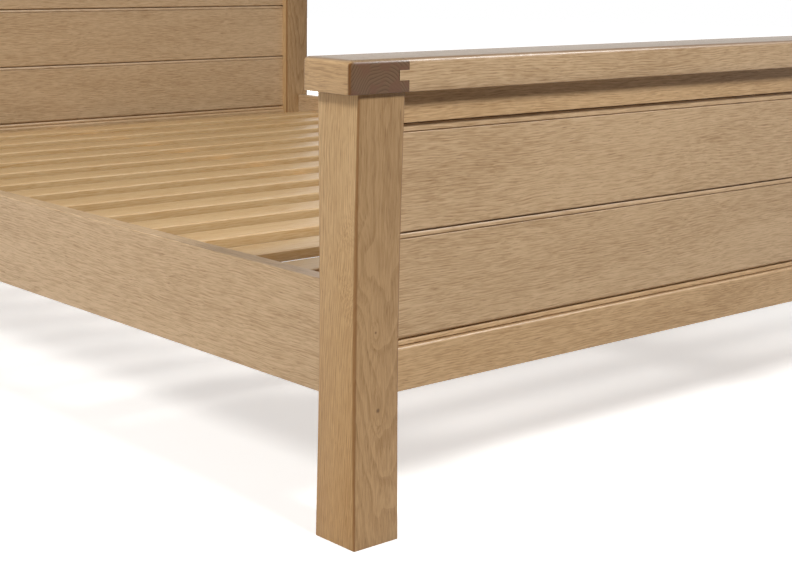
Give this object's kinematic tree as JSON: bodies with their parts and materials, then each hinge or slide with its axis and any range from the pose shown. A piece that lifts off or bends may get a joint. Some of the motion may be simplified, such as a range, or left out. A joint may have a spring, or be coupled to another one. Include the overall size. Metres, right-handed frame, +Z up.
{
  "type": "panel bed",
  "caption": "Oak bed frame with waisted square posts, overhanging cap rails with cross-grained ends, beaded horizontal board panels, side rails and a slatted base on a centre rail.",
  "frame": {"origin": "on the floor under the middle of the bed", "axes": "+Z up, +X to the right seen from the foot end, +Y from the foot end to the head end"},
  "size_m": [1.624, 2.189, 1.1],
  "materials": {
    "oak": "satin oiled natural oak",
    "pine": "planed, unfinished pine",
    "birch_plywood": "birch plywood strip, unfinished",
    "zinc_plated_steel": "bright zinc plating",
    "black_nylon": "moulded, fine matt"
  },
  "bodies": {
    "frame": {"bed_bolt_nuts": "zinc_plated_steel", "bed_bolts": "zinc_plated_steel", "centre_leg_foot": "pine", "centre_leg_head": "pine", "centre_rail": "pine", "centre_rail_hanger_foot": "zinc_plated_steel", "centre_rail_hanger_head": "zinc_plated_steel", "foot_bottom_rail": "oak", "foot_cap_board": "oak", "foot_cap_end_left": "oak", "foot_cap_end_right": "oak", "foot_cap_spline": "birch_plywood", "foot_panel_board_1": "oak", "foot_panel_board_2": "oak", "foot_post_left": "oak", "foot_post_right": "oak", "foot_top_rail": "oak", "half_moon_washers": "zinc_plated_steel", "head_bottom_rail": "oak", "head_cap_board": "oak", "head_cap_end_left": "oak", "head_cap_end_right": "oak", "head_cap_spline": "birch_plywood", "head_panel_board_1": "oak", "head_panel_board_2": "oak", "head_panel_board_3": "oak", "head_panel_board_4": "oak", "head_panel_board_5": "oak", "head_post_left": "oak", "head_post_right": "oak", "head_top_rail": "oak", "leg_inserts": "zinc_plated_steel", "side_rail_left": "oak", "side_rail_right": "oak", "slat_01": "pine", "slat_02": "pine", "slat_03": "pine", "slat_04": "pine", "slat_05": "pine", "slat_06": "pine", "slat_07": "pine", "slat_08": "pine", "slat_09": "pine", "slat_10": "pine", "slat_11": "pine", "slat_12": "pine", "slat_13": "pine", "slat_14": "pine", "slat_cleat_left": "pine", "slat_cleat_right": "pine"},
    "pad_foot": {"leveller_pad_foot": "black_nylon"},
    "stem_foot": {"leveller_stem_foot": "zinc_plated_steel"},
    "pad_head": {"leveller_pad_head": "black_nylon"},
    "stem_head": {"leveller_stem_head": "zinc_plated_steel"}
  },
  "joints": [
    {"name": "leveller_foot_travel", "type": "slide", "parent": "frame", "child": "pad_foot", "axis": [0, 0, -1], "range_m": [0, 0.015]},
    {"name": "leveller_foot_spin", "type": "hinge", "parent": "pad_foot", "child": "stem_foot", "pos_m": [0, -0.33, 0.01], "axis": [0, 0, -1], "range_deg": [0, 4320.5]},
    {"name": "leveller_head_travel", "type": "slide", "parent": "frame", "child": "pad_head", "axis": [0, 0, -1], "range_m": [0, 0.015]},
    {"name": "leveller_head_spin", "type": "hinge", "parent": "pad_head", "child": "stem_head", "pos_m": [0, 0.33, 0.01], "axis": [0, 0, -1], "range_deg": [0, 4320.5]}
  ],
  "couplings": [
    {"joint": "leveller_foot_spin", "follows": "leveller_foot_travel", "rad_per_m": 5026.6},
    {"joint": "leveller_head_spin", "follows": "leveller_head_travel", "rad_per_m": 5026.6}
  ]
}
